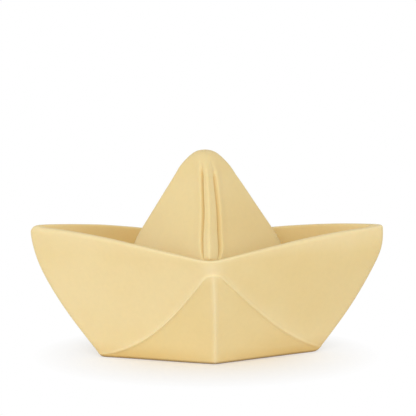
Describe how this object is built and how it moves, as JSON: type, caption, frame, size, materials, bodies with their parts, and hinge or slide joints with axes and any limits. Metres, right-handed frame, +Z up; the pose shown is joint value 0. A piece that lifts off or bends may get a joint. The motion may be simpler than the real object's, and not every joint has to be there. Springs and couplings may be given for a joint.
{
  "type": "origami sailboat bath toy",
  "caption": "Bath toy shaped like a folded paper sailboat, moulded in one piece of pale yellow soft rubber, with a pointed sail rising from its open hull.",
  "frame": {"origin": "centre of the flat base, straight under the sail's tip", "axes": "+X along the hull towards one of its two like tips, +Y across the hull, +Z up along the sail"},
  "size_m": [0.1252, 0.0634, 0.0732],
  "materials": {
    "rubber": "matte, moulded"
  },
  "bodies": {
    "root": {"origami_boat": "rubber"}
  },
  "joints": []
}
